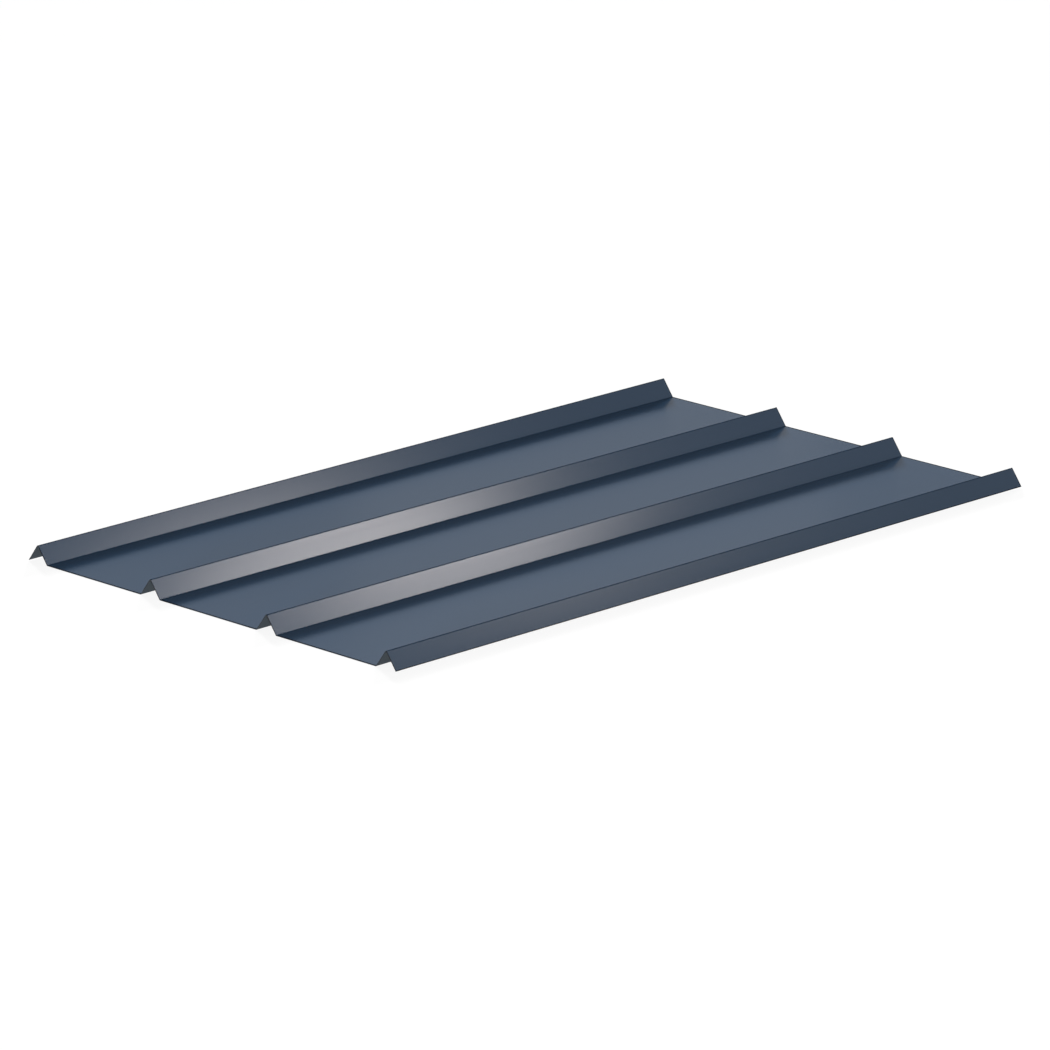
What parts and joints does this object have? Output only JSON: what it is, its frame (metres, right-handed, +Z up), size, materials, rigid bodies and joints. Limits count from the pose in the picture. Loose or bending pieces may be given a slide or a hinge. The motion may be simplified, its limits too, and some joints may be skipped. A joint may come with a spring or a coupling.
{
  "type": "metal roofing sheet",
  "caption": "Roll-formed steel roofing sheet with sharp V-shaped ribs between wide flat pans, its outer ribs made to lap over neighbouring sheets.",
  "frame": {"origin": "middle of the middle pan's underside, which is the centre of the sheet's footprint on the floor", "axes": "+X across the ribs, +Y along the ribs, +Z up from the pans towards the rib crests"},
  "size_m": [1.0544, 1.8, 0.0367],
  "materials": {
    "coated_steel": "satin slate-blue coil coating over galvanised steel, with a grey backing coat underneath and bare cut edges"
  },
  "bodies": {
    "root": {"roofing_sheet": "coated_steel"}
  },
  "joints": []
}
